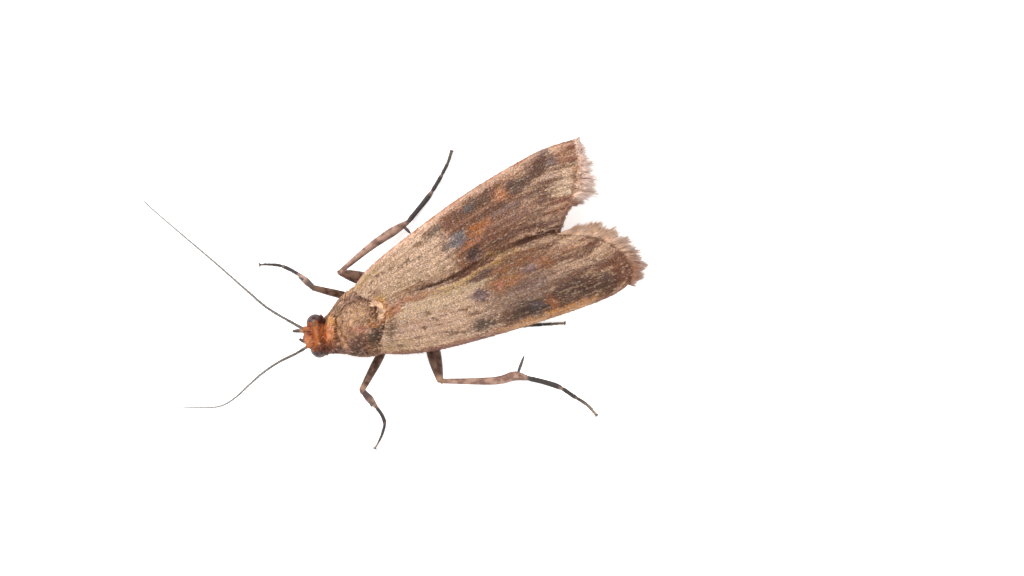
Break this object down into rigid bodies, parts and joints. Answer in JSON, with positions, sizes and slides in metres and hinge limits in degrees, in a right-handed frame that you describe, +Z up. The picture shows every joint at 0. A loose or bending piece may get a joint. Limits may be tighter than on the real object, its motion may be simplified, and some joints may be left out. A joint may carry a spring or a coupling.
{
  "type": "pantry moth",
  "caption": "Life-size still model of a pantry moth at rest, wings folded over its back, feelers forward, standing on its feet.",
  "frame": {"origin": "on the floor, under the middle of the moth's outline", "axes": "+Z up; the head points to -Y and the folded wing tips to +Y; the moth's left side is +X"},
  "size_m": [0.0106, 0.0135, 0.0045],
  "materials": {
    "head": "matte orange-brown scales",
    "eye": "dark, softly glossy compound eye",
    "antenna": "fine grey-brown scales",
    "palp": "pale tan scales, darker at the tips",
    "thorax": "coarse tan and grey-brown scales",
    "abdomen": "pale greyish tan scales",
    "forewing": "cream base third, then reddish brown with leaden grey bands, matte scales",
    "hindwing": "thin, pale grey and slightly silky",
    "leg": "brown scales, tan shins, dark feet with pale rings"
  },
  "bodies": {
    "root": {"head": "head", "eye_left": "eye", "eye_right": "eye", "antenna_left": "antenna", "antenna_right": "antenna", "palp_left": "palp", "palp_right": "palp", "thorax": "thorax", "abdomen": "abdomen", "forewing_left": "forewing", "forewing_right": "forewing", "hindwing_left": "hindwing", "hindwing_right": "hindwing", "leg_front_left": "leg", "leg_front_right": "leg", "leg_mid_left": "leg", "leg_mid_right": "leg", "leg_hind_left": "leg", "leg_hind_right": "leg"}
  },
  "joints": []
}
